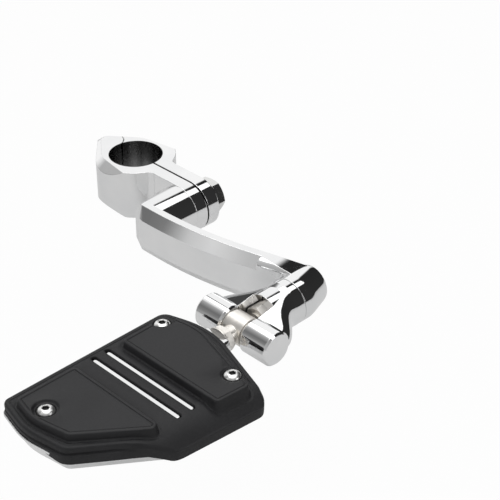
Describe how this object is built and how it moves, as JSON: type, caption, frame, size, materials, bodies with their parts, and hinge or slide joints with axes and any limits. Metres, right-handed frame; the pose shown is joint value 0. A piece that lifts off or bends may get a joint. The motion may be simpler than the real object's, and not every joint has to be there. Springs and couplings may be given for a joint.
{
  "type": "motorcycle floorboard",
  "caption": "Small folding floorboard with a ribbed rubber pad on a chrome tray, carried by a fork knuckle and a cranked offset arm on a two-piece bar clamp",
  "frame": {"origin": "centre of the clamp's bore at mid-height", "axes": "+Z along the clamp's bore, +X from the bore to the clamp bolt, the floorboard on the -Y side with its tread facing +Z"},
  "size_m": [0.2366, 0.2174, 0.03],
  "materials": {
    "chrome_casting": "mirror polish",
    "chrome_fastener": "polished",
    "zinc_steel": "bright zinc",
    "pad_rubber": "satin, moulded"
  },
  "bodies": {
    "clamp": {"clamp_front_half": "chrome_casting", "clamp_rear_half": "chrome_casting", "clamp_hinge_pin": "zinc_steel", "clamp_bolt": "chrome_fastener", "clamp_lock_washer": "chrome_fastener", "clamp_flat_washer": "chrome_fastener"},
    "arm": {"offset_arm": "chrome_casting"},
    "fork": {"fork_knuckle": "chrome_casting", "knuckle_screw": "zinc_steel", "knuckle_washer": "zinc_steel", "knuckle_nut": "zinc_steel", "fold_pivot_screw": "zinc_steel", "fold_spring_washer": "zinc_steel", "fold_side_washer": "zinc_steel"},
    "adapter": {"peg_adapter": "zinc_steel", "adapter_lock_nut": "zinc_steel", "adapter_washer": "zinc_steel"},
    "board": {"board_base": "chrome_casting", "board_pad": "pad_rubber", "pad_screws": "chrome_fastener"}
  },
  "joints": [
    {"name": "arm_swing", "type": "hinge", "parent": "clamp", "child": "arm", "pos_m": [0.0475, -0.0084, 0], "axis": [0, 1, 0], "range_deg": [-90, 90]},
    {"name": "knuckle_turn", "type": "hinge", "parent": "arm", "child": "fork", "pos_m": [0.1545, -0.03, 0], "axis": [0, 1, 0], "continuous": true},
    {"name": "board_fold", "type": "hinge", "parent": "fork", "child": "adapter", "pos_m": [0.1545, -0.0645, 0], "axis": [-1, 0, 0], "range_deg": [0, 90]},
    {"name": "board_roll", "type": "hinge", "parent": "adapter", "child": "board", "pos_m": [0.1545, -0.08, 0], "axis": [0, 1, 0], "range_deg": [-15, 15]}
  ]
}
